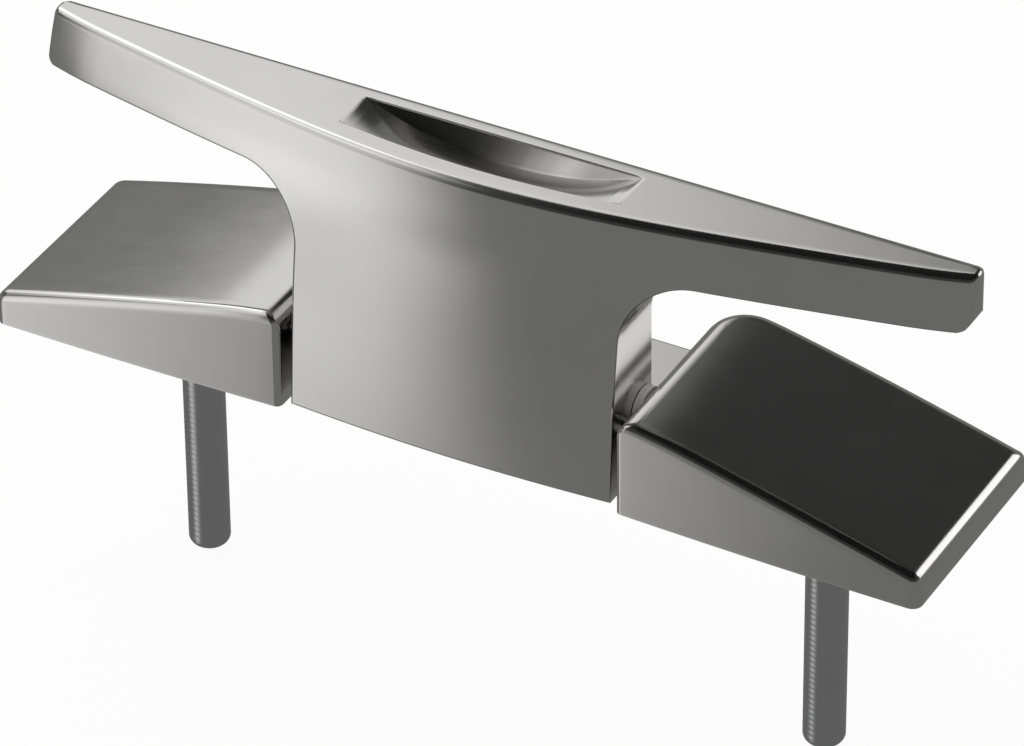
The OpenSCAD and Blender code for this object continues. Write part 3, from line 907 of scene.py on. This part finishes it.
bm = bmesh.new()
bmesh.ops.create_grid(bm, x_segments=1, y_segments=1, size=FLOOR_SIZE / 2)
floor = piece("floor", bm)
floor.location = (0, 0, floor_z)
floor.visible_glossy = False
floor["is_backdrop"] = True

PAPER_WHITE = 0.94
paper = bpy.data.materials.new("white_paper")
paper.use_nodes = True
tree = paper.node_tree
matte = tree.nodes["Principled BSDF"]
matte.inputs["Base Color"].default_value = (0.82, 0.815, 0.81, 1)
matte.inputs["Roughness"].default_value = 0.9
seen = add(tree, "ShaderNodeLightPath").outputs["Is Camera Ray"]
white = add(tree, "ShaderNodeEmission", {"Color": (1, 1, 1, 1), "Strength": 1.0})
mixed = add(tree, "ShaderNodeMixShader", {"Fac": work_out(tree, "MULTIPLY", seen, PAPER_WHITE)})
tree.links.new(matte.outputs[0], mixed.inputs[1])
tree.links.new(white.outputs[0], mixed.inputs[2])
tree.links.new(mixed.outputs[0], tree.nodes["Material Output"].inputs["Surface"])
floor.data.materials.append(paper)
print("floor at", round(floor_z / MM, 1), "mm")

# %% [markdown]
# The camera stands at the front left, above the cleat, far away with a long lens, so that
# the perspective is slight. It is placed as on a tripod: aim at a point near the origin, turn
# round it, tip down, back off, and level it a little by a roll.

# %% The camera
AIM = Vector((-1.69, 0.55, 1.84)) * MM
TURN, TIP, ROLL = 28.91, 35.267, -0.603
BACK_OFF = 1.63508

camera = bpy.data.objects.new("camera", bpy.data.cameras.new("camera"))
bpy.context.scene.collection.objects.link(camera)
camera.data.lens = 252.6
camera.data.sensor_width = 36
camera.data.clip_start, camera.data.clip_end = 0.05, 40
camera.matrix_world = (Matrix.Translation(AIM)
    @ Matrix.Rotation(math.radians(TURN), 4, "Z")
    @ Matrix.Rotation(math.radians(90 - TIP), 4, "X")
    @ Matrix.Rotation(math.radians(ROLL), 4, "Z")
    @ Matrix.Translation((0, 0, BACK_OFF)))
bpy.context.scene.camera = camera
print("camera at", [round(v, 3) for v in camera.matrix_world.translation], "m, lens",
    round(camera.data.lens, 1), "mm")

# %% [markdown]
# Polished metal shows what stands round it, so the light is large soft boxes placed where the
# faces look. One hangs behind and to the left, for the faces that look up, and a small one
# behind to the right, for the edges there. A tall one leans at the left front, for the fronts,
# and a second one below it stands in for the lit table that they would mirror. The last hangs
# high on the left, for the long front edge of the horn's top. All of them fade towards their
# sides, as real ones do, so that their mirror images have soft ends.

# %% Soft boxes
def fade(tree, value, low, high):
    """Turns a value into a smooth share, 0 at low and 1 at high."""
    return add(tree, "ShaderNodeMapRange", {"Value": value, "From Min": low, "From Max": high},
        interpolation_type="SMOOTHSTEP").outputs[0]


def soft_box(name, azimuth, height, distance, size, level, lean=0.0, fade_in=0.05,
        fade_out=0.05, fade_foot=0.02, fade_head=0.02, upright=False):
    """A soft box round the horn; azimuth is measured from +Y towards -X, and a level of 1
    looks paper white. Its light fades in and out over shares of its width."""
    a = math.radians(azimuth)
    away = Vector((-math.sin(a), math.cos(a), 0)) * distance
    place = away + Vector((0, 0, height))
    facing = -away if upright else -place
    data = bpy.data.lights.new(name, "AREA")
    data.shape, data.size, data.size_y = "RECTANGLE", size[0], size[1]
    data.energy = level * math.pi * size[0] * size[1]
    data.use_nodes = True
    tree = data.node_tree
    spot = add(tree, "ShaderNodeNewGeometry").outputs["Parametric"]
    along, up = add(tree, "ShaderNodeSeparateXYZ", {0: spot}).outputs[:2]
    rise = fade(tree, along, 0, fade_in)
    fall = fade(tree, work_out(tree, "SUBTRACT", 1.0, along), 0, fade_out)
    foot = fade(tree, up, 0, fade_foot)
    head = fade(tree, work_out(tree, "SUBTRACT", 1.0, up), 0, fade_head)
    across = work_out(tree, "MULTIPLY", rise, fall)
    upwards = work_out(tree, "MULTIPLY", foot, head)
    tree.links.new(work_out(tree, "MULTIPLY", across, upwards),
        tree.nodes["Emission"].inputs["Strength"])
    box = bpy.data.objects.new(name, data)
    box.location = place
    box.rotation_mode = "QUATERNION"
    tilt = Matrix.Rotation(math.radians(lean), 3, "Z").to_quaternion()
    box.rotation_quaternion = facing.to_track_quat("-Z", "Y") @ tilt
    bpy.context.scene.collection.objects.link(box)

soft_box("back_left_box", 48.2, 1.05, 1.2, (1.61, 1.25), 0.93, fade_in=0.27)
soft_box("back_right_box", -36, 0.62, 1.4, (0.85, 0.75), 1.5, fade_in=0.2, fade_out=0.2)
soft_box("left_front_box", 132, 1.1, 1.6, (1.21, 3.1), 0.88, lean=15, fade_in=0.31,
    fade_out=0.53, fade_foot=0.14, upright=True)
soft_box("low_front_box", 141.3, -0.7, 1.6, (1.24, 1.5), 0.7, lean=-14, fade_in=0.38,
    fade_out=0.5, fade_head=0.29, upright=True)
soft_box("upper_left_box", 86, 1.15, 1.0, (1.25, 0.9), 0.95, fade_in=0.2, fade_out=0.2,
    fade_foot=0.2)

# %% [markdown]
# The rest of the room is black overhead, which gives the castings their black lines, faintly
# lit further down, and dimly lit round the horizon and below it. The camera itself sees plain
# white, and matt pieces are lit by a dimmed white.

# %% The room
BAND_TOP, BAND_FULL, BAND_LEVEL = 0.45, 0.25, 0.17
GLOW_TOP, GLOW_FULL, GLOW_LEVEL = 0.82, 0.68, 0.035
MATTE_LEVEL = 0.7

world = bpy.data.worlds.new("room")
bpy.context.scene.world = world
world.use_nodes = True
tree = world.node_tree
towards = add(tree, "ShaderNodeTexCoord").outputs["Generated"]
height = add(tree, "ShaderNodeSeparateXYZ", {0: towards}).outputs[2]
band = work_out(tree, "MULTIPLY", fade(tree, height, BAND_TOP, BAND_FULL), BAND_LEVEL)
glow = work_out(tree, "MULTIPLY", fade(tree, height, GLOW_TOP, GLOW_FULL), GLOW_LEVEL)
in_mirrors = add(tree, "ShaderNodeBackground", {"Color": (1, 1, 1, 1),
    "Strength": work_out(tree, "ADD", band, glow)})
matte_light = add(tree, "ShaderNodeBackground", {"Color": (1, 1, 1, 1), "Strength": MATTE_LEVEL})
white = add(tree, "ShaderNodeBackground", {"Color": (1, 1, 1, 1), "Strength": 1.0})
path = add(tree, "ShaderNodeLightPath")
for_metal = add(tree, "ShaderNodeMixShader", {"Fac": path.outputs["Is Glossy Ray"]})
tree.links.new(matte_light.outputs[0], for_metal.inputs[1])
tree.links.new(in_mirrors.outputs[0], for_metal.inputs[2])
for_camera = add(tree, "ShaderNodeMixShader", {"Fac": path.outputs["Is Camera Ray"]})
tree.links.new(for_metal.outputs[0], for_camera.inputs[1])
tree.links.new(white.outputs[0], for_camera.inputs[2])
tree.links.new(for_camera.outputs[0], tree.nodes["World Output"].inputs["Surface"])

bpy.context.scene.view_settings.view_transform = "Standard"
print("room ready")

# %% [markdown]
# Last, the outer box of the imported model and that of the finished one are printed, one
# under the other. The finished castings must stay inside the imported ones.

# %% Print the two outer boxes
finished_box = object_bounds()
for name, box in (("packed", cad_box), ("finished", finished_box)):
    print(name, [round(v / MM, 2) for c in box for v in c])

# %% Finish
print("finished pieces:", [made.name for made in (horn, base, *studs, *buttons)])
